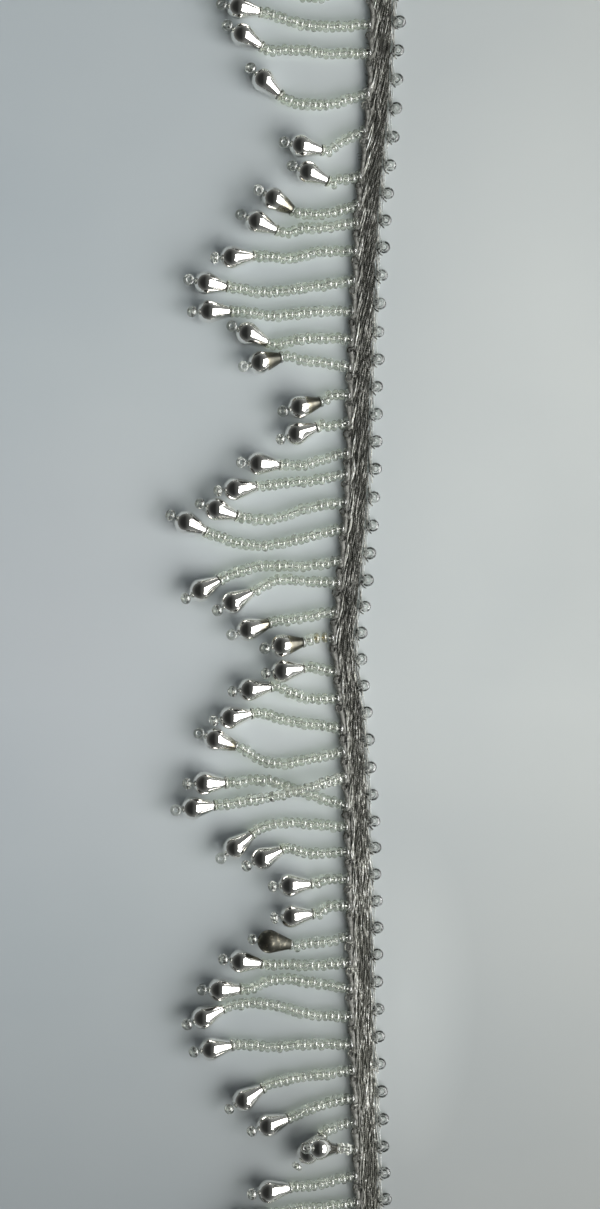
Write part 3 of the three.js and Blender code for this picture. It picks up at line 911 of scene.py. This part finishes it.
stops = set_beads(
    "stop_beads", bead_shape("stop_bead", STOP_BEAD),
    [string["stop"] for string in strings], [string["hole"] for string in strings],
    {"Wobble": 0.08, "Uneven": 0.06, "Stray": 0.0, "Seed": 9, "Material": seed_glass},
)
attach(stops, "root")


# Bead edging
# One clear glass bead lies flat in each repeat of the right edge, with its hole upright. Clear nylon runs
# along the edge and ties each bead, and a dark end of metallised yarn shows below it.

EDGE_BEAD = {
    **SEED, "radius": 0.0015, "hole": 0.0006, "rounds": 11, "square": 0.1, "lip": 0.49, "sides": 24,
    "across": 0.0038, "below": 0.0003, "height": 0.0009, "stray": 0.0001, "lean": 0.12,
}
# How far the beads stray along the braid and across it, each row as (repeat, shift).
EDGE_DRIFT = [
    (0, 0.0001), (3, -0.0002), (5, -0.0005), (8, -0.0006), (10, 0.0), (13, -0.0001), (15, 0.0002),
    (18, 0.0005), (21, 0.0), (24, 0.0004), (27, 0.0006), (30, 0.0001), (32, 0.0003), (36, 0.0003),
    (40, -0.0001), (43, -0.0004), (45, 0.0), (47, -0.0001),
]
EDGE_TUCK = [
    (0, 0.0), (10, 0.0001), (12, -0.0003), (14, -0.0001), (24, 0.0), (28, -0.0007), (31, -0.0002),
    (34, -0.0002), (47, 0.0),
]
EDGE_NYLON = {
    "lanes": (0.0021, 0.0024, 0.0027, 0.0030), "scallop": 0.0002, "stray": 0.00025, "height": 0.0005,
    "rise": 0.0005, "over": 0.0008, "under": -0.0006, "ties": (1.0, 0.4, -0.1, -0.7), "radius": 0.00011,
    "step": 0.0003,
}
EDGE_TIE = {
    "run": [(-0.0018, -0.0004, 0.0), (-0.0012, -0.0014, 0.0002), (-0.0004, -0.0021, -0.0002)],
    "size": (0.85, 1.05), "ply": 0.00011, "twist": 0.0012, "step": 0.0002,
}

drift, tuck = smooth_table(EDGE_DRIFT), smooth_table(EDGE_TUCK)
edge_places = []
for repeat in range(1, REPEATS):
    along = stitch(repeat) - EDGE_BEAD["below"] + drift(repeat)
    across = EDGE_BEAD["across"] + tuck(repeat) + jitter(EDGE_BEAD["stray"])
    edge_places.append(Vector((sway(along) + across, along, EDGE_BEAD["height"])))
lean = [Vector((jitter(EDGE_BEAD["lean"]), jitter(EDGE_BEAD["lean"]), 1.0)) for _ in edge_places]
# The edge beads' near-black rim colour is a painted dark ring, patchy and heaviest on the +X and +Y sides.
edge_glass = clear_glass(
    "edge_glass", tint=(0.99, 0.99, 0.985), deep=(0.96, 0.96, 0.95), rim=(0.004, 0.005, 0.004),
    rim_shade_stops=[(0.02, 0.0), (0.08, 1.0), (0.75, 1.0), (0.97, 0.4)], polish=1.85, patchy_rim_shade=0.85,
)
edge_beads = set_beads(
    "edge_beads", bead_shape("edge_bead", EDGE_BEAD), edge_places, lean,
    {"Wobble": 0.06, "Uneven": 0.08, "Stray": 0.0, "Seed": 13, "Material": edge_glass},
)


def lane_run(lane):
    """A line of nylon along the edge, which scallops from side to side."""
    run = []
    for step in range(2 * REPEATS):
        across = lane + (-1) ** step * EDGE_NYLON["scallop"] + jitter(EDGE_NYLON["stray"])
        height = EDGE_NYLON["height"] + random.uniform(0, EDGE_NYLON["rise"])
        run.append(on_braid(across, step / 2, height))
    return run


def bead_tie(place, side):
    """A line of nylon from the edge over a bead's rim and down its hole."""
    offsets = [
        (-0.0018, 0.0016 * side, -0.0001), (-0.0010, 0.0010 * side, 0.0006),
        (0.0, 0.0, EDGE_NYLON["over"]), (0.0, 0.0, EDGE_NYLON["under"]),
    ]
    return [place + Vector(offset) for offset in offsets]


nylon_runs = [lane_run(lane) for lane in EDGE_NYLON["lanes"]]
nylon_runs += [bead_tie(place, side) for place in edge_places for side in EDGE_NYLON["ties"]]
nylon_edge = spin(
    "edge_nylon", nylon_runs, nylon.material, EDGE_NYLON["radius"], tree=single_ply, step=EDGE_NYLON["step"]
)
tie_runs = [
    [place + Vector(point) * random.uniform(*EDGE_TIE["size"]) for point in EDGE_TIE["run"]]
    for place in edge_places
]
ties = spin(
    "edge_ties", tie_runs, metal_yarns["loop"], EDGE_TIE["ply"], EDGE_TIE["twist"], step=EDGE_TIE["step"]
)
for piece in (edge_beads, nylon_edge, ties):
    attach(piece, "root")
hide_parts("picot_edging")


# Table, lights and camera
# The trim lies on pale paper with painted light and shade: darker towards -Y, bluish on the left and warm on
# the right, with a few soft patches of painted light. A tall window stands on the right, a weak fill hangs
# above, and the camera looks straight down.

PHOTO = {"width": 600, "height": 1209, "pixels_per_metre": 4000.0, "middle_column": 349.6}
CAMERA_HEIGHT = 0.65
FLOOR_HALF, FLOOR_LEVEL = 3.0, -0.00002
# Soft patches of painted light on the paper, which lighten it or give it a faint lilac cast. Each row: where
# it is, how far it reaches, how much longer it is along Y, its shade, and how strong it is.
PAINTED_LIGHT_PATCHES = [
    ((-0.075, -0.010), 0.050, 1.4, (0.70, 0.69, 0.72), 0.28),
    ((0.014, -0.098), 0.018, 2.4, (0.80, 0.84, 0.83), 0.36),
    ((0.050, 0.075), 0.050, 1.4, (0.85, 0.88, 0.86), 0.40),
    ((0.024, 0.017), 0.030, 1.3, (0.85, 0.88, 0.86), 0.30),
]
PAPER_SHADES = [(0.3, (0.652, 0.704, 0.722)), (0.7, (0.726, 0.769, 0.772))]

corners = [(x * FLOOR_HALF, y * FLOOR_HALF, FLOOR_LEVEL) for x, y in ((-1, -1), (1, -1), (1, 1), (-1, 1))]
floor = new_piece("paper", corners, [(0, 1, 2, 3)])
paper = Finish("pale_paper", Roughness=0.55)
paper_place = paper.place()
to_right, to_top = paper.axis(paper_place, "X"), paper.axis(paper_place, "Y")
# Painted light tint: the paper bluish on the left and warm on the right, as the light's colour shifts.
painted_light_tint = paper.ramp(to_right * 5.0 + 0.6, [(0.1, (0.93, 0.96, 1.0)), (0.9, (0.97, 0.95, 0.925))])
# Painted shade: the paper's colour grows darker towards -Y.
painted_falloff = paper.ramp(to_top * 4.0 + 0.9, [(0.20, 0.535), (0.80, 1.0)])
cloud = paper.noise(14.0, paper_place, 2.0)
crease = paper.noise(9.0, paper_place, 3.0, (1.0, 2.4, 1.0), 0.6)
tooth = paper.noise(2500.0, paper_place, 3.0)
toned = paper.ramp(cloud * 0.6 + crease * 0.4, PAPER_SHADES)
for shading in (painted_falloff, painted_light_tint):
    toned = paper.shaded(toned, shading)
# Each patch blends painted light into the paper's colour.
for (across, along), reach, longer, shade, strength in PAINTED_LIGHT_PATCHES:
    squash = {"Vector": paper_place, "Scale": (1.0, 1.0 / longer, 1.0)}
    squashed = paper.add("ShaderNodeMapping", None, squash)
    off = paper.vector("DISTANCE", {0: squashed, 1: (across, along / longer, 0.0)}, "Value") / reach
    fading = paper.ramp(off, [(0.0, strength), (0.5, strength * 0.6), (1.0, 0.0)])
    toned = paper.blend(fading, toned, (*shade, 1))
paper.set(Base_Color=toned, Normal=paper.bump(tooth, 0.00003, 0.25))
floor.data.materials.append(paper.material)


def soft_light(name, place, target, size, energy, shade):
    """A rectangular soft light that shines on the target."""
    data = bpy.data.lights.new(name, "AREA")
    data.shape, data.size, data.size_y = "RECTANGLE", size[0], size[1]
    data.energy, data.color = energy, shade
    light = bpy.data.objects.new(name, data)
    light.location = place
    light.rotation_euler = (Vector(target) - Vector(place)).to_track_quat("-Z", "Y").to_euler()
    bpy.context.scene.collection.objects.link(light)
    return light


key = soft_light("daylight", (0.72, -0.47, 0.57), (0.0, 0.0, 0.0), (1.3, 0.75), 15.2, (1.0, 1.0, 0.98))
fill = soft_light("fill", (0.14, 0.12, 0.40), (0.03, 0.05, 0.0), (0.25, 0.25), 0.20, (0.84, 0.93, 1.0))
for lamp in (key, fill):
    lamp.visible_glossy = lamp.visible_transmission = False
window = soft_light("window", (1.0, -0.08, 0.70), (0.0, 0.0, 0.30), (1.45, 0.72), 20.3, (1.0, 1.0, 0.99))
window.visible_diffuse = False

world = bpy.data.worlds.new("dim_room")
world.use_nodes = True
bpy.context.scene.world = world
room = Board(world.node_tree)
look = room.add("ShaderNodeTexCoord", out="Generated")
height, toward = room.axis(look, "Z"), room.axis(look, "X")
# The dim room is a little brighter on the window's side and low down.
wall = (toward * 0.9 + 0.1).at_least(0.0) * 0.16 + (1.0 - height).at_least(0.0) ** 3.0 * 0.20 + 0.022
backdrop = world.node_tree.nodes["Background"]
room.fill(backdrop.inputs["Color"], room.blend(0.15, (0.95, 1.0, 0.96, 1), (1, 1, 1, 1)))
room.fill(backdrop.inputs["Strength"], wall)

camera = bpy.data.cameras.new("camera")
half_height = PHOTO["height"] / PHOTO["pixels_per_metre"] / 2
camera.lens = camera.sensor_width / 2 / (half_height / CAMERA_HEIGHT)
camera.clip_start, camera.clip_end = 0.05, 20.0
viewer = bpy.data.objects.new("camera", camera)
off_middle = (PHOTO["width"] / 2 - PHOTO["middle_column"]) / PHOTO["pixels_per_metre"]
viewer.location = (off_middle, 0.0, CAMERA_HEIGHT)
bpy.context.scene.collection.objects.link(viewer)
bpy.context.scene.camera = viewer
bpy.context.scene.view_settings.view_transform = "Standard"
